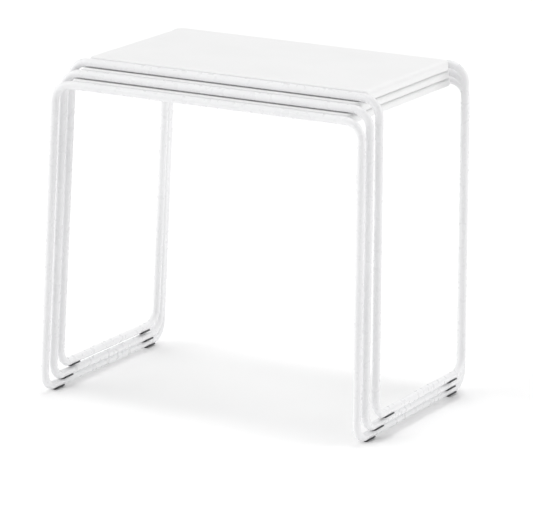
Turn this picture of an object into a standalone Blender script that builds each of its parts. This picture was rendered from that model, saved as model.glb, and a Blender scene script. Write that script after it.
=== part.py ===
"""Three nesting tables of bent round steel rod with sheet-metal tops.

Each table is a closed loop of rod: two upright hoops joined at their feet by two floor
runners.  The sheet top sits between the hoops' rails and stands a little proud of them, and
its ends stop short of the legs.  Every table up the nest is shallower, so its legs drop between the
hoops of the one below, past the ends of that table's top, and it lifts straight out.

Metres, +Z up, front towards -Y.  The origin is the middle of the nest's footprint, on the
floor.
"""

import math
from dataclasses import dataclass

import bmesh
import bpy
from mathutils import Matrix, Vector

# Rod and frame
ROD_DIAMETER = 0.012
BEND_RADIUS = 0.026          # of the rod's centre line, at every corner
LEG_SPACINGS = (0.495, 0.495, 0.497)   # between each table's leg centre lines, at its rails
LEG_SPLAYS = (0.010, 0.010, 0.012)     # how far each table's feet stand out beyond that
HOOP_SPLAY = 0.0027          # how far each foot stands in front of, or behind, its rail
TABLE_HEIGHT = 0.477         # floor to the top of the lowest table's rails
DEPTH_SPACING = 0.357        # between the lowest table's front and back rails
WELD_HEIGHT = 0.062          # above a runner, where hoop and runner are butt-welded

# How one table sits in the next
DEPTH_STEP = 0.032           # each table is this much shallower than the one below
SIDE_STEP = 0.0054           # and lies this far to the right of it
RAIL_LIFTS = (0.0, 0.0148, 0.0296)
FOOT_LIFTS = (0.0, 0.0135, 0.0300)

# Sheet top
PANEL_LENGTH = 0.454
PANEL_THICKNESS = 0.0015
PANEL_RISE = 0.002           # above the rails beside it, just short of the next table's
PANEL_LIP = PANEL_RISE + ROD_DIAMETER  # its folded edge ends level with the rails
PANEL_FOLD_RADIUS = 0.0025   # along the rails
PANEL_END_RADIUS = 0.007     # across the ends, clear of the bends of the table above
PANEL_CORNER_RADIUS = 0.009

# Glides under the runners
GLIDE_THICKNESS = 0.002      # below the rod
GLIDE_LENGTH = 0.024
GLIDE_INSET = 0.040          # from the foot's corner to the glide's middle
GLIDE_WRAP = math.radians(52)
GLIDE_PEG_DIAMETER = 0.004
GLIDE_PEG_LENGTH = 0.0036    # into the rod
GLIDE_HOLE_DIAMETER = 0.0048
GLIDE_END_BEVEL = 0.0006

GAP = 0.0003                 # kept between pieces that touch
ROD_RADIUS = ROD_DIAMETER / 2
RUNNER_HEIGHT = GLIDE_THICKNESS + ROD_RADIUS
RAIL_HEIGHT = TABLE_HEIGHT - ROD_RADIUS

# Facets
BEND_STEPS = 8
ROD_BEVEL_RESOLUTION = 8     # 20 sides
CORNER_STEPS = 5
FOLD_STEPS = 4
ARC_STEPS = 8
PEG_SIDES = 16

# Finishes: colour (linear RGBA), roughness, metallic
WHITE_ROD = ((0.86, 0.86, 0.88, 1.0), 0.38, 0.0)
WHITE_SHEET = ((0.88, 0.88, 0.88, 1.0), 0.45, 0.0)
GREY_PLASTIC = ((0.11, 0.11, 0.12, 1.0), 0.55, 0.0)

SIDES = {"left": -1, "right": 1}
ENDS = {"front": -1, "back": 1}


@dataclass(frozen=True)
class Table:
    """One table of the nest; its own frame has its feet at z = 0."""

    name: str
    level: int

    @property
    def origin(self):
        """Middle of the table's footprint, in the nest's frame."""
        return Vector(((self.level - 1) * SIDE_STEP, 0, FOOT_LIFTS[self.level]))

    @property
    def rail_z(self):
        """Height of the rails' centre line above the table's own feet."""
        return RAIL_HEIGHT + RAIL_LIFTS[self.level] - FOOT_LIFTS[self.level]

    @property
    def rail_y(self):
        """Distance of the rails' centre lines from the middle."""
        return (DEPTH_SPACING - self.level * DEPTH_STEP) / 2

    def leg_top(self, side, end):
        """Corner where a leg's centre line meets its rail's."""
        return Vector((side * LEG_SPACINGS[self.level] / 2, end * self.rail_y, self.rail_z))

    def leg_foot(self, side, end):
        """Corner where a leg's centre line meets its runner's."""
        x = side * (LEG_SPACINGS[self.level] / 2 + LEG_SPLAYS[self.level])
        y = end * (self.rail_y + HOOP_SPLAY)
        return Vector((x, y, RUNNER_HEIGHT))

    def weld_point(self, side, end, offset):
        """Point on a leg at the weld, moved up the leg by an offset."""
        foot = self.leg_foot(side, end)
        upward = (self.leg_top(side, end) - foot).normalized()
        return foot + upward * (WELD_HEIGHT + offset)


TABLES = [Table("lower", 0), Table("middle", 1), Table("upper", 2)]


def clear_scene():
    """Remove whatever the new file holds."""
    for obj in list(bpy.data.objects):
        bpy.data.objects.remove(obj, do_unlink=True)


def finish(obj, look):
    """Give an object a material of its own."""
    colour, roughness, metallic = look
    material = bpy.data.materials.new(obj.name + "_finish")
    material.use_nodes = True
    shader = material.node_tree.nodes["Principled BSDF"]
    shader.inputs["Base Color"].default_value = colour
    shader.inputs["Roughness"].default_value = roughness
    shader.inputs["Metallic"].default_value = metallic
    material.diffuse_color = colour
    obj.data.materials.append(material)


def add_object(name, data, parent=None, location=(0, 0, 0)):
    """Link a new object and place it under its parent."""
    obj = bpy.data.objects.new(name, data)
    bpy.context.collection.objects.link(obj)
    obj.parent = parent
    obj.location = location
    return obj


def mesh_from(bm, name):
    """Turn a bmesh into a mesh that shades smooth over its round parts."""
    bmesh.ops.recalc_face_normals(bm, faces=bm.faces)
    mesh = bpy.data.meshes.new(name)
    bm.to_mesh(mesh)
    bm.free()
    mesh.shade_smooth()
    mesh.set_sharp_from_angle(angle=math.radians(35))
    return mesh


def add_cutter(name, mesh, parent, location):
    """A helper solid for a Boolean, kept out of the model."""
    obj = add_object(name, mesh, parent, location)
    obj.hide_render = True
    obj.display_type = "WIRE"
    return obj


def add_boolean(obj, operation, other):
    """Cut or join another solid with a Boolean modifier."""
    modifier = obj.modifiers.new(operation.lower(), "BOOLEAN")
    modifier.operation = operation
    modifier.object = other


def rounded_path(corners, radius, steps):
    """Points along straight runs, with an arc in place of each inner corner."""
    points = [corners[0].copy()]
    for before, corner, after in zip(corners, corners[1:], corners[2:]):
        incoming = (corner - before).normalized()
        outgoing = (after - corner).normalized()
        turn = incoming.angle(outgoing)
        start = corner - incoming * radius * math.tan(turn / 2)
        axis = incoming.cross(outgoing).normalized()
        centre = start + axis.cross(incoming) * radius
        for step in range(steps + 1):
            spin = Matrix.Rotation(turn * step / steps, 3, axis)
            points.append(centre + spin @ (start - centre))
    points.append(corners[-1].copy())
    return points


def rod_mesh(name, corners):
    """A length of rod bent round its corners, closed at both ends."""
    points = rounded_path(corners, BEND_RADIUS, BEND_STEPS)
    curve = bpy.data.curves.new(name, "CURVE")
    curve.dimensions = "3D"
    curve.bevel_depth = ROD_RADIUS
    curve.bevel_resolution = ROD_BEVEL_RESOLUTION
    curve.use_fill_caps = True
    spline = curve.splines.new("POLY")
    spline.points.add(len(points) - 1)
    for target, point in zip(spline.points, points):
        target.co = (*point, 1)
    guide = bpy.data.objects.new(name + "_guide", curve)
    mesh = bpy.data.meshes.new_from_object(guide)
    bpy.data.objects.remove(guide)
    bm = bmesh.new()
    bm.from_mesh(mesh)
    bpy.data.meshes.remove(mesh)
    bmesh.ops.remove_doubles(bm, verts=bm.verts, dist=GAP / 10)
    return mesh_from(bm, name)


def peg_mesh(name, diameter, length):
    """An upright cylinder standing on its origin."""
    bm = bmesh.new()
    lift = Matrix.Translation((0, 0, length / 2))
    bmesh.ops.create_cone(bm, cap_ends=True, segments=PEG_SIDES, radius1=diameter / 2,
                          radius2=diameter / 2, depth=length, matrix=lift)
    return mesh_from(bm, name)


def glide_body_mesh(name):
    """A saddle of plastic under a rod that runs along Y, with a flat to stand on.

    Its origin is on the rod's centre line.
    """
    inner = ROD_RADIUS + GAP
    outer = ROD_RADIUS + GLIDE_THICKNESS + GAP
    angles = [GLIDE_WRAP * (2 * step / ARC_STEPS - 1) for step in range(ARC_STEPS + 1)]
    outline = [(outer * math.sin(a), max(-outer * math.cos(a), -RUNNER_HEIGHT)) for a in angles]
    outline += [(inner * math.sin(a), -inner * math.cos(a)) for a in reversed(angles)]
    bm = bmesh.new()
    verts = [bm.verts.new((x, -GLIDE_LENGTH / 2, z)) for x, z in outline]
    section = bm.faces.new(verts)
    swept = bmesh.ops.extrude_face_region(bm, geom=[section])
    moved = [item for item in swept["geom"] if isinstance(item, bmesh.types.BMVert)]
    bmesh.ops.translate(bm, verts=moved, vec=(0, GLIDE_LENGTH, 0))
    rims = [edge for edge in bm.edges if abs(edge.verts[0].co.y - edge.verts[1].co.y) < GAP]
    bmesh.ops.bevel(bm, geom=rims, offset=GLIDE_END_BEVEL, segments=1, profile=0.5,
                    affect="EDGES")
    return mesh_from(bm, name)


def panel_ring(bm, half, turn, depth=None):
    """One level of a sheet top's outer skin.

    The fold has gone through an angle of turn there, from flat to upright; a depth given
    takes the place of the fold's own.
    """
    ring = []
    for corner in range(4):
        sign_x = (1, -1, -1, 1)[corner]
        sign_y = (1, 1, -1, -1)[corner]
        centre = Vector((sign_x * (half.x - PANEL_CORNER_RADIUS),
                         sign_y * (half.y - PANEL_CORNER_RADIUS), 0))
        for step in range(CORNER_STEPS + 1):
            angle = math.pi / 2 * (corner + step / CORNER_STEPS)
            outward = Vector((math.cos(angle), math.sin(angle), 0))
            share = outward.x ** 2
            radius = PANEL_END_RADIUS * share + PANEL_FOLD_RADIUS * (1 - share)
            point = centre + outward * (PANEL_CORNER_RADIUS - radius * (1 - math.sin(turn)))
            point.z = -depth if depth else -radius * (1 - math.cos(turn))
            ring.append(bm.verts.new(point))
    return ring


def panel_mesh(name, length, depth):
    """Outer skin of a sheet top: a flat face with its edges folded down all round.

    Its origin is in the middle of the flat face.
    """
    half = Vector((length / 2, depth / 2))
    bm = bmesh.new()
    rings = [panel_ring(bm, half, math.pi / 2 * step / FOLD_STEPS)
             for step in range(FOLD_STEPS + 1)]
    rings.append(panel_ring(bm, half, math.pi / 2, PANEL_LIP))
    bm.faces.new(rings[0])
    for upper, lower in zip(rings, rings[1:]):
        for index in range(len(upper)):
            bm.faces.new((upper[index - 1], upper[index], lower[index], lower[index - 1]))
    return mesh_from(bm, name)


def add_panel(table, parent):
    """The table's sheet top, between its rails."""
    name = table.name + "_panel"
    depth = 2 * (table.rail_y - ROD_RADIUS - GAP)
    mesh = panel_mesh(name, PANEL_LENGTH, depth)
    panel = add_object(name, mesh, parent, (0, 0, table.rail_z + ROD_RADIUS + PANEL_RISE))
    solidify = panel.modifiers.new("thickness", "SOLIDIFY")
    solidify.thickness = PANEL_THICKNESS
    solidify.offset = -1
    solidify.use_even_offset = True
    finish(panel, WHITE_SHEET)


def add_hoops(table, parent):
    """The front and back hoops: a rail and the two legs bent from its ends."""
    for end_name, end in ENDS.items():
        corners = [table.weld_point(-1, end, GAP / 2), table.leg_top(-1, end),
                   table.leg_top(1, end), table.weld_point(1, end, GAP / 2)]
        name = f"{table.name}_{end_name}_hoop"
        hoop = add_object(name, rod_mesh(name, corners), parent)
        finish(hoop, WHITE_ROD)


def add_runners(table, parent):
    """The left and right floor runners, drilled from below for their glides' pegs."""
    for side_name, side in SIDES.items():
        corners = [table.weld_point(side, -1, -GAP / 2), table.leg_foot(side, -1),
                   table.leg_foot(side, 1), table.weld_point(side, 1, -GAP / 2)]
        name = f"{table.name}_{side_name}_runner"
        runner = add_object(name, rod_mesh(name, corners), parent)
        finish(runner, WHITE_ROD)
        for end_name, end in ENDS.items():
            foot = table.leg_foot(side, end)
            below = foot + Vector((0, -end * GLIDE_INSET, -RUNNER_HEIGHT))
            depth = GLIDE_THICKNESS + GLIDE_PEG_LENGTH + 2 * GAP
            hole = f"{name}_{end_name}_hole"
            drill = peg_mesh(hole, GLIDE_HOLE_DIAMETER, depth)
            add_boolean(runner, "DIFFERENCE", add_cutter(hole, drill, parent, below))


def add_glides(table, parent):
    """Four plastic glides, each with a peg up into its runner."""
    for side_name, side in SIDES.items():
        for end_name, end in ENDS.items():
            name = f"{table.name}_{end_name}_{side_name}_glide"
            centre = table.leg_foot(side, end) + Vector((0, -end * GLIDE_INSET, 0))
            glide = add_object(name, glide_body_mesh(name), parent, centre)
            finish(glide, GREY_PLASTIC)
            root = GLIDE_THICKNESS / 2
            length = root + GLIDE_PEG_LENGTH
            peg = peg_mesh(name + "_peg", GLIDE_PEG_DIAMETER, length)
            foot = centre - Vector((0, 0, ROD_RADIUS + root))
            add_boolean(glide, "UNION", add_cutter(name + "_peg", peg, parent, foot))


def add_table(table):
    """One whole table, on an empty in the middle of its feet, on its lift axis."""
    empty = add_object(table.name + "_table", None, location=table.origin)
    add_hoops(table, empty)
    add_runners(table, empty)
    add_panel(table, empty)
    add_glides(table, empty)


def main():
    """Build the nest from the lowest table up."""
    clear_scene()
    for table in TABLES:
        add_table(table)
    bpy.context.view_layer.update()


main()
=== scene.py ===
"""Looks of three nesting tables: bent steel rod and folded sheet tops, powder-coated white.

Each table is one closed loop of 12 mm rod with a folded sheet between its rails and four
grey plastic glides under its runners.  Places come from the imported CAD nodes; the sizes that
a box can't give are fields of the classes below.
"""

import logging
import math
from dataclasses import dataclass
from enum import Enum

import bmesh
import bpy
from mathutils import Matrix, Vector


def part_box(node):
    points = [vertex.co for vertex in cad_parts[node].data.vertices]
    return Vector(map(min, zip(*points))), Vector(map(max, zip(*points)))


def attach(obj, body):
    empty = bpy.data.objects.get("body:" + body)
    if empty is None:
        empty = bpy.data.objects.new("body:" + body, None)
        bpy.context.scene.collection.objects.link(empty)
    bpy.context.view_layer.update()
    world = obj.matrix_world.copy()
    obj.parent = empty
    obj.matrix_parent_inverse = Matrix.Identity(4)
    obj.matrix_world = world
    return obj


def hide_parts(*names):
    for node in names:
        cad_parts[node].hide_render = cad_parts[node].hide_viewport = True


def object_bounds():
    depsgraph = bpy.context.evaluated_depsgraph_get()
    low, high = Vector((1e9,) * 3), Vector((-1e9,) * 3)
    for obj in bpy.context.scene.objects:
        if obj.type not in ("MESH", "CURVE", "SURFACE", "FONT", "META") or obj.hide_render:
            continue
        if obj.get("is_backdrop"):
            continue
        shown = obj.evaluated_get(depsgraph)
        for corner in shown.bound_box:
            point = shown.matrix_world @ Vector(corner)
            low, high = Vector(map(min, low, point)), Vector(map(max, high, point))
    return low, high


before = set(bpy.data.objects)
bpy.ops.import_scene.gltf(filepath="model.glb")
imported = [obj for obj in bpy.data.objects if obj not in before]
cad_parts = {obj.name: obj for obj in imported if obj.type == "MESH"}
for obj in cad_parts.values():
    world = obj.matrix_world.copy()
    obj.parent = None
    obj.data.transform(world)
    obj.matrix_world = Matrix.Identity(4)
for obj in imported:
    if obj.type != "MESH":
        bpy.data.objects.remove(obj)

LOG = logging.getLogger("nesting_tables")
MM = 0.001
SMOOTH_ANGLE = math.radians(40)


class Level(Enum):
    """The tables of the nest, from the largest up."""

    LOWER = "lower"
    MIDDLE = "middle"
    UPPER = "upper"


class Side(Enum):
    """Which runner, with its sign along X."""

    LEFT = -1
    RIGHT = 1


class End(Enum):
    """Which hoop, with its sign along Y."""

    FRONT = -1
    BACK = 1


class Slot(Enum):
    """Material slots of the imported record."""

    FRAME = "frame_powder_coat"
    TOP = "top_powder_coat"
    GLIDE = "glide_plastic"


# ---------------------------------------------------------------- materials


def linear(hex_colour: str) -> tuple[float, float, float, float]:
    """Turn an sRGB hex colour into linear light.

    Args:
        hex_colour: Six hex digits, such as "F4F4F6".

    Returns:
        Linear red, green and blue with an alpha of 1.
    """
    parts = (int(hex_colour[i:i + 2], 16) / 255 for i in (0, 2, 4))
    red, green, blue = (part / 12.92 if part <= 0.04045 else ((part + 0.055) / 1.055) ** 2.4
                        for part in parts)
    return red, green, blue, 1.0


def per_metre(size_mm: float) -> float:
    """Texture scale that repeats a pattern once in this many millimetres."""
    return 1 / (size_mm * MM)


def add_node(
    tree: bpy.types.NodeTree,
    kind: str,
    values: dict[str | int, object] | None = None,
    links: dict[str | int, bpy.types.NodeSocket] | None = None,
    **settings: object,
) -> bpy.types.Node:
    """Add a node to a tree with its settings, socket values and incoming links.

    Args:
        tree: The material's or world's node tree.
        kind: Blender's name of the node type.
        values: Values for input sockets, by socket name or index.
        links: Output sockets to connect, by input socket name or index.
        **settings: Properties of the node itself.

    Returns:
        The new node.
    """
    node = tree.nodes.new(kind)
    for name, value in settings.items():
        setattr(node, name, value)
    for socket, value in (values or {}).items():
        node.inputs[socket].default_value = value
    for socket, source in (links or {}).items():
        tree.links.new(source, node.inputs[socket])
    return node


def new_material(name: str) -> tuple[bpy.types.Material, bpy.types.NodeTree, bpy.types.Node]:
    """Start a material with only its output.

    Args:
        name: Name of the material.

    Returns:
        The material, its tree and its output node.
    """
    material = bpy.data.materials.new(name)
    material.use_nodes = True
    tree = material.node_tree
    tree.nodes.clear()
    return material, tree, add_node(tree, "ShaderNodeOutputMaterial")


@dataclass(frozen=True)
class PowderCoat:
    """White polyester powder coat, sprayed dry on steel and baked.

    It gives the eye an even, faintly cool white with a soft wide highlight, the fine orange
    peel of powder that has flowed together, and a slightly greyer tone where the film is
    thinner.
    """

    name: str
    film: str = "F3F3F4"          # full film
    thin_film: str = "F0F0F1"     # where the steel below greys it a little
    roughness: float = 0.36
    roughness_spread: float = 0.06
    cloud_mm: float = 70.0        # patches of thicker and thinner film
    flow_mm: float = 9.0          # slow swell left as the powder flows
    peel_mm: float = 1.6          # orange peel; 0.8 mm in life, too fine to show
    peel_depth_mm: float = 0.05
    flow_depth_mm: float = 0.08
    relief: float = 0.5           # share of those depths that shows
    ior: float = 1.5              # polyester resin

    def build(self) -> bpy.types.Material:
        """Build the material.

        Returns:
            The finished material.
        """
        material, tree, output = new_material(self.name)
        place = add_node(tree, "ShaderNodeTexCoord").outputs["Object"]
        cloud = add_node(
            tree, "ShaderNodeTexNoise", {"Scale": per_metre(self.cloud_mm), "Detail": 3.0},
            {"Vector": place},
        )
        flow = add_node(
            tree, "ShaderNodeTexNoise", {"Scale": per_metre(self.flow_mm), "Detail": 1.0},
            {"Vector": place},
        )
        peel = add_node(
            tree, "ShaderNodeTexNoise", {"Scale": per_metre(self.peel_mm), "Detail": 2.0},
            {"Vector": place},
        )
        thinness = add_node(
            tree, "ShaderNodeMapRange", {"From Min": 0.35, "From Max": 0.7},
            {"Value": cloud.outputs["Fac"]},
        )
        colour = add_node(
            tree, "ShaderNodeMix", {6: linear(self.film), 7: linear(self.thin_film)},
            {0: thinness.outputs["Result"]}, data_type="RGBA",
        )
        gloss = add_node(
            tree, "ShaderNodeMapRange",
            {"From Min": 0.3, "From Max": 0.7,
             "To Min": self.roughness - self.roughness_spread / 2,
             "To Max": self.roughness + self.roughness_spread / 2},
            {"Value": flow.outputs["Fac"]},
        )
        swell = add_node(
            tree, "ShaderNodeBump",
            {"Strength": self.relief, "Distance": self.flow_depth_mm * MM},
            {"Height": flow.outputs["Fac"]},
        )
        skin = add_node(
            tree, "ShaderNodeBump",
            {"Strength": self.relief, "Distance": self.peel_depth_mm * MM},
            {"Height": peel.outputs["Fac"], "Normal": swell.outputs["Normal"]},
        )
        shader = add_node(
            tree, "ShaderNodeBsdfPrincipled", {"Metallic": 0.0, "IOR": self.ior},
            {"Base Color": colour.outputs[2], "Roughness": gloss.outputs["Result"],
             "Normal": skin.outputs["Normal"]},
        )
        tree.links.new(shader.outputs["BSDF"], output.inputs["Surface"])
        return material


@dataclass(frozen=True)
class MouldedPolyethylene:
    """Dark grey polyethylene, injection-moulded in a spark-eroded tool.

    It gives the eye a dull, slightly waxy grey with a fine even grain, and a paler scuffed
    patch on the flat that slides on the floor.
    """

    name: str
    body: str = "343537"
    mottle: str = "3D3E41"
    scuff: str = "6A6B6E"
    roughness: float = 0.48
    scuffed_roughness: float = 0.75
    grain_mm: float = 0.5
    grain_depth_mm: float = 0.03
    mottle_mm: float = 4.0
    scratch_mm: float = 0.6       # across the scratches, which run along the slide
    scratch_stretch: float = 0.06  # their frequency along the slide, of that across it
    relief: float = 0.6           # share of the grain's depth that shows
    ior: float = 1.5

    def build(self) -> bpy.types.Material:
        """Build the material.

        Returns:
            The finished material.
        """
        material, tree, output = new_material(self.name)
        coordinates = add_node(tree, "ShaderNodeTexCoord")
        place = coordinates.outputs["Object"]
        mottle = add_node(
            tree, "ShaderNodeTexNoise", {"Scale": per_metre(self.mottle_mm), "Detail": 2.0},
            {"Vector": place},
        )
        grain = add_node(
            tree, "ShaderNodeTexVoronoi", {"Scale": per_metre(self.grain_mm)}, {"Vector": place},
        )
        stretched = add_node(
            tree, "ShaderNodeMapping", {"Scale": (1.0, self.scratch_stretch, 1.0)},
            {"Vector": place},
        )
        scratches = add_node(
            tree, "ShaderNodeTexNoise", {"Scale": per_metre(self.scratch_mm), "Detail": 2.0},
            {"Vector": stretched.outputs["Vector"]},
        )
        facing = add_node(
            tree, "ShaderNodeSeparateXYZ", None, {"Vector": coordinates.outputs["Normal"]},
        )
        floorward = add_node(
            tree, "ShaderNodeMapRange", {"From Min": -0.9, "From Max": -0.99},
            {"Value": facing.outputs["Z"]},
        )
        worn = add_node(
            tree, "ShaderNodeMapRange", {"From Min": 0.4, "From Max": 0.65},
            {"Value": scratches.outputs["Fac"]},
        )
        scuffed = add_node(
            tree, "ShaderNodeMath", None,
            {0: floorward.outputs["Result"], 1: worn.outputs["Result"]}, operation="MULTIPLY",
        )
        body = add_node(
            tree, "ShaderNodeMix", {6: linear(self.body), 7: linear(self.mottle)},
            {0: mottle.outputs["Fac"]}, data_type="RGBA",
        )
        colour = add_node(
            tree, "ShaderNodeMix", {7: linear(self.scuff)},
            {0: scuffed.outputs["Value"], 6: body.outputs[2]}, data_type="RGBA",
        )
        dulled = add_node(
            tree, "ShaderNodeMapRange",
            {"To Min": self.roughness, "To Max": self.scuffed_roughness},
            {"Value": scuffed.outputs["Value"]},
        )
        skin = add_node(
            tree, "ShaderNodeBump",
            {"Strength": self.relief, "Distance": self.grain_depth_mm * MM},
            {"Height": grain.outputs["Distance"]},
        )
        shader = add_node(
            tree, "ShaderNodeBsdfPrincipled", {"Metallic": 0.0, "IOR": self.ior},
            {"Base Color": colour.outputs[2], "Roughness": dulled.outputs["Result"],
             "Normal": skin.outputs["Normal"]},
        )
        tree.links.new(shader.outputs["BSDF"], output.inputs["Surface"])
        return material


@dataclass(frozen=True)
class Finishes:
    """The materials that the tables share."""

    rod: bpy.types.Material
    sheet: bpy.types.Material
    plastic: bpy.types.Material


# ---------------------------------------------------------------- mesh helpers


def new_verts(result: dict[str, list]) -> list[bmesh.types.BMVert]:
    """Vertices among an operator's new geometry."""
    return [item for item in result["geom"] if isinstance(item, bmesh.types.BMVert)]


def new_edges(result: dict[str, list]) -> list[bmesh.types.BMEdge]:
    """Edges among an operator's new geometry."""
    return [item for item in result["geom"] if isinstance(item, bmesh.types.BMEdge)]


def edges_of(verts: list[bmesh.types.BMVert]) -> list[bmesh.types.BMEdge]:
    """Edges that meet these vertices, each once and always in the same order."""
    return list(dict.fromkeys(edge for vert in verts for edge in vert.link_edges))


def add_piece(
    bm: bmesh.types.BMesh,
    name: str,
    level: Level,
    material: bpy.types.Material,
    stands_for: tuple[str, ...] = (),
) -> bpy.types.Object:
    """Make a finished bmesh a piece that rides on its table.

    Args:
        bm: The shape, already in its place in the nest; it is freed.
        name: Name of the piece.
        level: The table that it belongs to.
        material: Its finish.
        stands_for: CAD nodes that it replaces.

    Returns:
        The piece, at the origin.
    """
    mesh = bpy.data.meshes.new(name)
    bm.to_mesh(mesh)
    bm.free()
    mesh.shade_smooth()
    mesh.set_sharp_from_angle(angle=SMOOTH_ANGLE)
    mesh.materials.append(material)
    piece = bpy.data.objects.new(name, mesh)
    bpy.context.scene.collection.objects.link(piece)
    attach(piece, level.value + "_table")
    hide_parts(*stands_for)
    return piece


class DrawnRod:
    """A round rod, drawn ring by ring along straight runs and bends."""

    def __init__(self, start: Vector, heading: Vector, radius: float, sides: int) -> None:
        """Stand the first ring across the rod's line.

        Args:
            start: Middle of the first ring.
            heading: Direction in which the rod leaves it.
            radius: Radius of the rod.
            sides: Number of sides of the ring.
        """
        self.bm = bmesh.new()
        self.centre = start.copy()
        across = heading.to_track_quat("Z", "Y").to_matrix().to_4x4()
        made = bmesh.ops.create_circle(
            self.bm, cap_ends=False, segments=sides, radius=radius,
            matrix=Matrix.Translation(start) @ across,
        )
        self.first = edges_of(made["verts"])
        self.ring = self.first

    def straight_to(self, point: Vector, swell: float = 1.0) -> None:
        """Draw the rod straight on.

        Args:
            point: Middle of the ring at the far end.
            swell: How much wider the far ring is than the one before.
        """
        drawn = bmesh.ops.extrude_edge_only(self.bm, edges=self.ring)
        verts = new_verts(drawn)
        bmesh.ops.translate(self.bm, verts=verts, vec=point - self.centre)
        self.centre = point.copy()
        if swell != 1.0:
            bmesh.ops.scale(self.bm, verts=verts, vec=(swell, swell, swell),
                            space=Matrix.Translation(-point))
        self.ring = new_edges(drawn)

    def bend(self, centre: Vector, axis: Vector, angle: float, steps: int) -> None:
        """Carry the rod round an arc.

        Args:
            centre: Centre of the arc.
            axis: Axis that it turns about.
            angle: How far it turns, right-handed.
            steps: Number of rings along the arc.
        """
        spun = bmesh.ops.spin(self.bm, geom=self.ring, cent=centre, axis=axis, angle=angle,
                              steps=steps, use_merge=False, use_duplicate=False)
        self.ring = [item for item in spun["geom_last"] if isinstance(item, bmesh.types.BMEdge)]
        self.centre = centre + Matrix.Rotation(angle, 3, axis) @ (self.centre - centre)

    def join_ends(self) -> bmesh.types.BMesh:
        """Close the rod into a loop, from its last ring to its first.

        Returns:
            The closed shape, facing outwards.
        """
        bmesh.ops.bridge_loops(self.bm, edges=self.ring + self.first)
        bmesh.ops.recalc_face_normals(self.bm, faces=self.bm.faces)
        return self.bm


# ---------------------------------------------------------------- pieces


@dataclass(frozen=True)
class RodFrame:
    """A table's closed loop of rod: two hoops and two runners, butt-welded in the legs."""

    level: Level
    leg_splay: float              # how far a foot stands out sideways from its leg's top
    rod_diameter: float = 12 * MM
    bend_radius: float = 26 * MM
    groove: float = 0.3 * MM      # between the rails and the sheet top
    weld_height: float = 62 * MM  # up the leg from the runner
    weld_length: float = 5 * MM
    weld_swell: float = 1.014     # the ring left where a ground butt weld is coated over
    weld_crown: float = 0.35      # the part of the weld's length that keeps its full width
    sides: int = 40
    bend_steps: int = 22

    def rail_corner(self, side: Side, end: End) -> Vector:
        """Where a leg's centre line meets its rail's.

        Args:
            side: Left or right leg.
            end: Front or back leg.

        Returns:
            The corner's place in the nest.
        """
        low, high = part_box(f"{self.level.value}_panel")
        edge = low.y if end is End.FRONT else high.y
        y = edge + end.value * (self.groove + self.rod_diameter / 2)
        x = self.foot_corner(side, end).x - side.value * self.leg_splay
        _, hoop_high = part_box(f"{self.level.value}_{end.name.lower()}_hoop")
        return Vector((x, y, hoop_high.z - self.rod_diameter / 2))

    def foot_corner(self, side: Side, end: End) -> Vector:
        """Where a leg's centre line meets its runner's.

        Args:
            side: Left or right leg.
            end: Front or back leg.

        Returns:
            The corner's place in the nest.
        """
        low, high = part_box(f"{self.level.value}_{side.name.lower()}_runner")
        radius = self.rod_diameter / 2
        x = (low.x if side is Side.LEFT else high.x) - side.value * radius
        y = (low.y if end is End.FRONT else high.y) - end.value * radius
        return Vector((x, y, low.z + radius))

    def path(self) -> list[tuple[Vector, bool]]:
        """Corners round the loop, from the front right of the rails.

        Returns:
            Each corner, with whether a weld lies between it and the next.
        """
        corners = []
        for end, sides in ((End.FRONT, (Side.RIGHT,)), (End.BACK, (Side.RIGHT, Side.LEFT)),
                           (End.FRONT, (Side.LEFT,))):
            for side in sides:
                rail, foot = self.rail_corner(side, end), self.foot_corner(side, end)
                downward = (end is End.FRONT) == (side is Side.RIGHT)
                pair = (rail, foot) if downward else (foot, rail)
                corners += [(pair[0], True), (pair[1], False)]
        return corners

    def add_weld(self, rod: DrawnRod, foot: Vector, direction: Vector) -> None:
        """Draw the faint ring of a butt weld in a leg.

        Args:
            rod: The rod, somewhere on the leg short of the weld.
            foot: The leg's foot corner.
            direction: The way the rod is being drawn.
        """
        up = direction * (1 if direction.z > 0 else -1)
        middle = foot + up * self.weld_height
        half = self.weld_length / 2
        crown = self.weld_crown
        for offset, swell in ((-1.0, 1.0), (-crown, self.weld_swell), (crown, 1.0),
                              (1.0, 1 / self.weld_swell)):
            rod.straight_to(middle + direction * half * offset, swell)

    def build(self) -> bmesh.types.BMesh:
        """Draw the loop.

        Returns:
            The closed rod.
        """
        corners = self.path()
        places = [corner for corner, _ in corners]
        start = (places[0] + places[-1]) / 2
        rod = DrawnRod(start, places[0] - places[-1], self.rod_diameter / 2, self.sides)
        for index, (corner, welded) in enumerate(corners):
            incoming = (corner - places[index - 1]).normalized()
            following = places[(index + 1) % len(places)]
            outgoing = (following - corner).normalized()
            turn = incoming.angle(outgoing)
            begin = corner - incoming * self.bend_radius * math.tan(turn / 2)
            axis = incoming.cross(outgoing).normalized()
            rod.straight_to(begin)
            rod.bend(begin + axis.cross(incoming) * self.bend_radius, axis, turn, self.bend_steps)
            if welded:
                foot = corner if corner.z < following.z else following
                self.add_weld(rod, foot, outgoing)
        return rod.join_ends()

    def dress(self, finishes: Finishes) -> bpy.types.Object:
        """Coat the loop and set it on its table.

        Args:
            finishes: The shared materials.

        Returns:
            The finished piece.
        """
        table = self.level.value
        nodes = tuple(f"{table}_{part}" for part in
                      ("front_hoop", "back_hoop", "left_runner", "right_runner"))
        return add_piece(self.build(), f"{table}_rod_frame", self.level,
                         finishes.rod, nodes)


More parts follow.
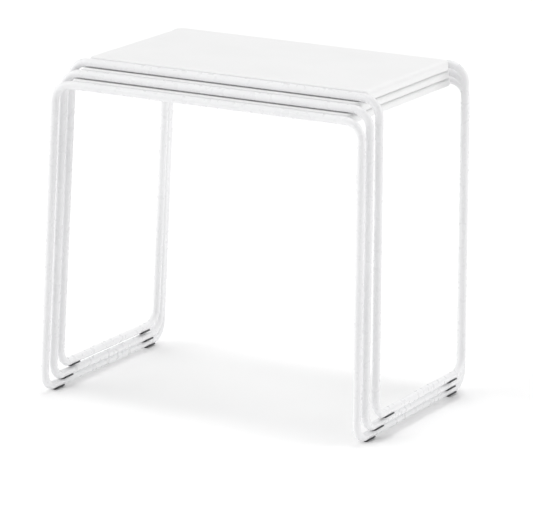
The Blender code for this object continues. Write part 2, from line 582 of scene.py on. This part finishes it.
@dataclass(frozen=True)
class SheetTop:
    """A table's top: one steel sheet, its four edges folded down.

    The folds are tight along the rails and easier across the ends, where the bends of the
    table above pass close by.
    """

    level: Level
    thickness: float = 1.5 * MM
    fold_radius: float = 1.7 * MM
    end_radius: float = 7 * MM
    corner_radius: float = 9 * MM
    rim_round: float = 0.35 * MM  # coat drawn round the sheared edge
    support: float = 0.9 * MM     # flat kept beside each fold
    rim_segments: int = 2
    rim_angle: float = math.radians(60)  # edges sharper than this are drawn round
    corner_steps: int = 12
    fold_steps: int = 8

    def fold(self, verts: list[bmesh.types.BMVert], corners: list[tuple[Vector, Vector]],
             top: float, turn: float, depth: float | None = None) -> None:
        """Set one ring of the skin where the fold has turned through an angle.

        Args:
            verts: The ring.
            corners: For each of its vertices, the centre of its corner and the way out of it.
            top: Height of the flat face.
            turn: Angle from flat, in radians.
            depth: Depth below the flat face, in place of the fold's own.
        """
        for vert, (centre, outward) in zip(verts, corners):
            endward = outward.x ** 2
            radius = self.end_radius * endward + self.fold_radius * (1 - endward)
            place = centre + outward * (self.corner_radius - radius * (1 - math.sin(turn)))
            place.z = top - (radius * (1 - math.cos(turn)) if depth is None else depth)
            vert.co = place

    def build(self) -> bmesh.types.BMesh:
        """Fold the outer skin of the sheet.

        Returns:
            The skin: a flat face and the walls folded down from it.
        """
        low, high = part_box(f"{self.level.value}_panel")
        size, middle = high - low, (low + high) / 2
        bm = bmesh.new()
        bmesh.ops.create_grid(bm, x_segments=1, y_segments=1, size=0.5)
        bmesh.ops.scale(bm, verts=bm.verts, vec=(size.x, size.y, 1))
        bmesh.ops.translate(bm, verts=bm.verts, vec=(middle.x, middle.y, high.z))
        bmesh.ops.bevel(bm, geom=bm.verts[:], offset=self.corner_radius, affect="VERTICES",
                        segments=self.corner_steps, profile=0.5, material=-1)
        edges = bm.edges[:]
        ring = bm.verts[:]
        turns = [(math.pi / 2 * step / self.fold_steps, None)
                 for step in range(self.fold_steps + 1)]
        turns += [(math.pi / 2, self.end_radius + self.support), (math.pi / 2, size.z)]
        for number, (turn, depth) in enumerate(turns):
            if number:
                folded = bmesh.ops.extrude_edge_only(bm, edges=edges)
                ring = new_verts(folded)
                edges = [edge for edge in new_edges(folded) if edge.is_boundary]
            self.fold(ring, [self.corner_of(vert.co, middle, size) for vert in ring],
                      high.z, turn, depth)
        flat = [face for face in bm.faces if face.calc_area() > size.x * size.y / 2]
        bmesh.ops.inset_region(bm, faces=flat, thickness=self.support, use_even_offset=True)
        bmesh.ops.recalc_face_normals(bm, faces=bm.faces)
        if max(bm.faces, key=lambda face: face.calc_area()).normal.z < 0:
            bmesh.ops.reverse_faces(bm, faces=bm.faces)
        return bm

    def corner_of(self, place: Vector, middle: Vector, size: Vector) -> tuple[Vector, Vector]:
        """Find the corner arc a point of the skin belongs to.

        Args:
            place: The point.
            middle: Middle of the top.
            size: Size of the top.

        Returns:
            The arc's centre, and the direction from it to the point.
        """
        centre = Vector((
            middle.x + math.copysign(size.x / 2 - self.corner_radius, place.x - middle.x),
            middle.y + math.copysign(size.y / 2 - self.corner_radius, place.y - middle.y), 0))
        outward = Vector((place.x - centre.x, place.y - centre.y, 0)).normalized()
        return centre, outward

    def dress(self, finishes: Finishes) -> bpy.types.Object:
        """Give the sheet its thickness and coat, and set it on its table.

        Args:
            finishes: The shared materials.

        Returns:
            The finished piece.
        """
        table = self.level.value
        piece = add_piece(self.build(), f"{table}_sheet_top", self.level,
                          finishes.sheet, (f"{table}_panel",))
        wall = piece.modifiers.new("sheet thickness", "SOLIDIFY")
        wall.thickness = self.thickness
        wall.offset = -1
        wall.use_even_offset = True
        edge = piece.modifiers.new("coated edge", "BEVEL")
        edge.width = self.rim_round
        edge.segments = self.rim_segments
        edge.limit_method = "ANGLE"
        edge.angle_limit = self.rim_angle
        return piece


@dataclass(frozen=True)
class StitchWelds:
    """Short weld beads under a top, in the groove between its folded edge and each rail."""

    level: Level
    beads_a_side: int = 4
    bead_length: float = 18 * MM
    bead_radius: float = 1.25 * MM
    ripple_pitch: float = 1.5 * MM
    ripple_depth: float = 0.10    # of the radius
    off_sheet: float = 0.75 * MM  # from the folded edge's face to the bead's middle
    above_rim: float = 2.1 * MM   # from the folded edge's rim to the bead's middle
    tip_width: float = 0.35       # of the radius, where a bead starts and stops
    tip_rings: int = 2            # over which it reaches full width
    sides: int = 14

    def add_bead(self, bm: bmesh.types.BMesh, middle: Vector) -> None:
        """Lay one rippled bead along X.

        Args:
            bm: The bmesh that takes it.
            middle: Middle of the bead.
        """
        start = middle - Vector((self.bead_length / 2, 0, 0))
        across = Vector((1, 0, 0)).to_track_quat("Z", "Y").to_matrix().to_4x4()
        made = bmesh.ops.create_circle(
            bm, cap_ends=True, segments=self.sides,
            radius=self.bead_radius * self.tip_width,
            matrix=Matrix.Translation(start) @ across,
        )
        ring = edges_of(made["verts"])
        steps = round(self.bead_length / (self.ripple_pitch / 2))
        width = self.tip_width
        for step in range(1, steps + 1):
            grown = min(step, steps - step) / self.tip_rings
            end_taper = min(1.0, self.tip_width + (1 - self.tip_width) * grown)
            wanted = end_taper * (1 + self.ripple_depth * (0.5 if step % 2 else -0.5))
            drawn = bmesh.ops.extrude_edge_only(bm, edges=ring)
            verts = new_verts(drawn)
            bmesh.ops.translate(bm, verts=verts, vec=(self.bead_length / steps, 0, 0))
            centre = start + Vector((self.bead_length * step / steps, 0, 0))
            swell = wanted / width
            bmesh.ops.scale(bm, verts=verts, vec=(swell, swell, swell),
                            space=Matrix.Translation(-centre))
            ring, width = new_edges(drawn), wanted
        bmesh.ops.edgeloop_fill(bm, edges=ring)

    def build(self) -> bmesh.types.BMesh:
        """Lay the beads along both rails.

        Returns:
            All the beads.
        """
        low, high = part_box(f"{self.level.value}_panel")
        bm = bmesh.new()
        pitch = (high.x - low.x) / self.beads_a_side
        for end in End:
            edge = low.y if end is End.FRONT else high.y
            for number in range(self.beads_a_side):
                x = low.x + pitch * (number + 0.5)
                self.add_bead(bm, Vector((x, edge + end.value * self.off_sheet,
                                          low.z + self.above_rim)))
        bmesh.ops.recalc_face_normals(bm, faces=bm.faces)
        return bm

    def dress(self, finishes: Finishes) -> bpy.types.Object:
        """Coat the beads and set them on their table.

        Args:
            finishes: The shared materials.

        Returns:
            The finished piece.
        """
        return add_piece(self.build(), f"{self.level.value}_stitch_welds", self.level,
                         finishes.rod)


@dataclass(frozen=True)
class Glide:
    """A moulded saddle under a runner, with a flat that slides on the floor."""

    level: Level
    side: Side
    end: End
    rod_radius: float = 6 * MM
    fit: float = 0.2 * MM         # between the saddle and the rod
    wrap: float = math.radians(52)
    end_round: float = 0.7 * MM
    round_segments: int = 3
    wrap_steps: int = 20
    flat_angle: float = math.radians(0.5)  # facets flatter than this are joined
    end_facing: float = 0.9       # how squarely a face looks along the runner to be an end

    @property
    def name(self) -> str:
        """Name of the glide's CAD node."""
        return f"{self.level.value}_{self.end.name.lower()}_{self.side.name.lower()}_glide"

    def build(self) -> bmesh.types.BMesh:
        """Mould the saddle.

        Returns:
            The saddle, in its place.
        """
        low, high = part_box(self.name)
        runner_low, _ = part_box(f"{self.level.value}_{self.side.name.lower()}_runner")
        axis_z = runner_low.z + self.rod_radius
        inner, outer = self.rod_radius + self.fit, axis_z - low.z + self.fit
        bm = bmesh.new()
        foot = bmesh.ops.create_vert(bm, co=(0, 0, -inner))["vert"][0]
        drawn = bmesh.ops.extrude_vert_indiv(bm, verts=[foot])
        bmesh.ops.translate(bm, verts=drawn["verts"], vec=(0, 0, inner - outer))
        bmesh.ops.rotate(bm, verts=bm.verts, matrix=Matrix.Rotation(-self.wrap, 3, "Y"))
        bmesh.ops.spin(bm, geom=bm.verts[:] + bm.edges[:], cent=(0, 0, 0), axis=(0, 1, 0),
                       angle=2 * self.wrap, steps=self.wrap_steps, use_merge=False)
        floor = low.z - axis_z
        for vert in bm.verts:
            vert.co.z = max(vert.co.z, floor)
        bmesh.ops.dissolve_limit(bm, angle_limit=self.flat_angle, verts=bm.verts,
                                 edges=[e for e in bm.edges if len(e.link_faces) == 2])
        length = high.y - low.y
        swept = bmesh.ops.extrude_face_region(bm, geom=bm.faces[:])
        bmesh.ops.translate(bm, verts=new_verts(swept), vec=(0, length, 0))
        bmesh.ops.translate(bm, verts=bm.verts, vec=(0, -length / 2, 0))
        bmesh.ops.recalc_face_normals(bm, faces=bm.faces)
        ends = [face for face in bm.faces if abs(face.normal.y) > self.end_facing]
        rims = list(dict.fromkeys(edge for face in ends for edge in face.edges))
        bmesh.ops.bevel(bm, geom=rims, offset=self.end_round, affect="EDGES",
                        segments=self.round_segments, profile=0.5, material=-1)
        centre = Vector(((low.x + high.x) / 2, (low.y + high.y) / 2, axis_z))
        bmesh.ops.translate(bm, verts=bm.verts, vec=centre)
        return bm

    def dress(self, finishes: Finishes) -> bpy.types.Object:
        """Set the glide under its runner.

        Args:
            finishes: The shared materials.

        Returns:
            The finished piece.
        """
        return add_piece(self.build(), f"{self.name}_pad", self.level,
                         finishes.plastic, (self.name,))


@dataclass(frozen=True)
class NestingTable:
    """One whole table."""

    level: Level
    leg_splay: float

    def dress(self, finishes: Finishes) -> list[bpy.types.Object]:
        """Build and finish all of the table's pieces.

        Args:
            finishes: The shared materials.

        Returns:
            The pieces.
        """
        pieces = [
            RodFrame(self.level, self.leg_splay).dress(finishes),
            SheetTop(self.level).dress(finishes),
            StitchWelds(self.level).dress(finishes),
        ]
        pieces += [Glide(self.level, side, end).dress(finishes) for side in Side for end in End]
        return pieces


# ---------------------------------------------------------------- studio


@dataclass(frozen=True)
class Lamp:
    """A soft source, far away."""

    name: str
    azimuth: float                # degrees round from the front, towards the right
    elevation: float              # degrees above the floor
    strength: float
    width: float                  # degrees across the source

    def build(self) -> None:
        """Hang the lamp."""
        data = bpy.data.lights.new(self.name, "SUN")
        data.energy = self.strength
        data.angle = math.radians(self.width)
        lamp = bpy.data.objects.new(self.name, data)
        bpy.context.scene.collection.objects.link(lamp)
        turn, lift = math.radians(self.azimuth), math.radians(self.elevation)
        towards = Vector((math.sin(turn) * math.cos(lift), -math.cos(turn) * math.cos(lift),
                          math.sin(lift)))
        lamp.rotation_mode = "QUATERNION"
        lamp.rotation_quaternion = towards.to_track_quat("Z", "Y")


@dataclass(frozen=True)
class Studio:
    """A white sweep, even light all round, and soft lamps."""

    floor_size: float = 60.0
    floor_colour: str = "FFFFFF"
    air: float = 0.45             # light from all round
    wall: float = 1.0             # how white the far wall looks
    lamps: tuple[Lamp, ...] = (
        Lamp("left_window", -60.0, 25.0, 1.25, 60.0),
        Lamp("right_window", 115.0, 25.0, 0.93, 50.0),
        Lamp("overhead_key", 0.0, 90.0, 0.60, 15.0),
        Lamp("back_rim", 190.0, 45.0, 0.46, 60.0),
        Lamp("front_fill", -20.0, 30.0, 0.14, 60.0),
    )

    def build(self) -> None:
        """Build the floor, the air and the lamps."""
        self.add_floor()
        self.add_air()
        for lamp in self.lamps:
            lamp.build()
        bpy.context.scene.view_settings.view_transform = "Standard"

    def add_floor(self) -> None:
        """Lay the plain pale floor under the lowest glides."""
        low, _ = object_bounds()
        bm = bmesh.new()
        bmesh.ops.create_grid(bm, x_segments=1, y_segments=1, size=self.floor_size / 2)
        bmesh.ops.translate(bm, verts=bm.verts, vec=(0, 0, low.z))
        mesh = bpy.data.meshes.new("studio_floor")
        bm.to_mesh(mesh)
        bm.free()
        material, tree, output = new_material("matt white paper")
        shader = add_node(tree, "ShaderNodeBsdfDiffuse", {"Color": linear(self.floor_colour)})
        tree.links.new(shader.outputs["BSDF"], output.inputs["Surface"])
        mesh.materials.append(material)
        floor = bpy.data.objects.new("studio_floor", mesh)
        bpy.context.scene.collection.objects.link(floor)
        floor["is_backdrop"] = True

    def add_air(self) -> None:
        """Light the room evenly and leave its far wall plain white."""
        world = bpy.data.worlds.new("studio air")
        bpy.context.scene.world = world
        world.use_nodes = True
        tree = world.node_tree
        tree.nodes.clear()
        seen = add_node(tree, "ShaderNodeLightPath").outputs["Is Camera Ray"]
        light = add_node(tree, "ShaderNodeBackground", {"Strength": self.air})
        wall = add_node(tree, "ShaderNodeBackground", {"Strength": self.wall})
        for background in (light, wall):
            background.inputs["Color"].default_value = (1, 1, 1, 1)
        mixed = add_node(tree, "ShaderNodeMixShader", None,
                         {0: seen, 1: light.outputs["Background"], 2: wall.outputs["Background"]})
        add_node(tree, "ShaderNodeOutputWorld", None, {"Surface": mixed.outputs["Shader"]})


@dataclass(frozen=True)
class StudioCamera:
    """A long lens, a little above the tops, looking from the front right."""

    azimuth: float = 26.652       # degrees round from the front
    elevation: float = 13.755     # degrees above the floor
    roll: float = 1.592           # degrees
    focal_length: float = 274.163  # mm
    sensor_width: float = 36.0    # mm
    far_limit: float = 200.0      # metres, past the edge of the floor
    distance: float = 6.01055     # from the middle of the nest, in metres
    aim_right: float = 0.00554    # from the middle to where the lens points, in metres
    aim_up: float = -0.04361

    def build(self) -> bpy.types.Object:
        """Set the camera up.

        Returns:
            The scene's camera.
        """
        low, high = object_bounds()
        turn, lift = math.radians(self.azimuth), math.radians(self.elevation)
        back = Vector((math.sin(turn) * math.cos(lift), -math.cos(turn) * math.cos(lift),
                       math.sin(lift)))
        level_right = Vector((math.cos(turn), math.sin(turn), 0))
        tilt = Matrix.Rotation(math.radians(self.roll), 3, back)
        right = tilt @ level_right
        up = back.cross(right)
        aim = (low + high) / 2 + right * self.aim_right + up * self.aim_up
        place = aim + back * self.distance
        data = bpy.data.cameras.new("studio_camera")
        data.sensor_width = self.sensor_width
        data.lens = self.focal_length
        data.clip_end = self.far_limit
        camera = bpy.data.objects.new("studio_camera", data)
        bpy.context.scene.collection.objects.link(camera)
        camera.matrix_world = Matrix.Translation(place) @ Matrix(
            (right, up, back)).transposed().to_4x4()
        bpy.context.scene.camera = camera
        return camera


# ---------------------------------------------------------------- the nest


TABLES = (
    NestingTable(Level.LOWER, leg_splay=10 * MM),
    NestingTable(Level.MIDDLE, leg_splay=10 * MM),
    NestingTable(Level.UPPER, leg_splay=12 * MM),
)


def main() -> None:
    """Build the tables from the lowest up, then the studio and the camera."""
    logging.basicConfig(level=logging.INFO, format="%(message)s")
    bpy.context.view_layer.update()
    finishes = Finishes(
        rod=PowderCoat("white polyester powder coat on rod", roughness=0.29).build(),
        # The sheet's film is set a little whiter than the rod's: the white is the coat's own, and
        # the extra whiteness is painted light for the stronger light that falls on the
        # upward-facing top.
        sheet=PowderCoat("white polyester powder coat on sheet", film="F6F6F6",
                         thin_film="F4F4F4").build(),
        plastic=MouldedPolyethylene("dark grey moulded polyethylene").build(),
    )
    for table in TABLES:
        for piece in table.dress(finishes):
            LOG.info("%s: %d faces", piece.name, len(piece.data.polygons))
    StudioCamera().build()
    Studio().build()


if __name__ == "__main__":
    main()
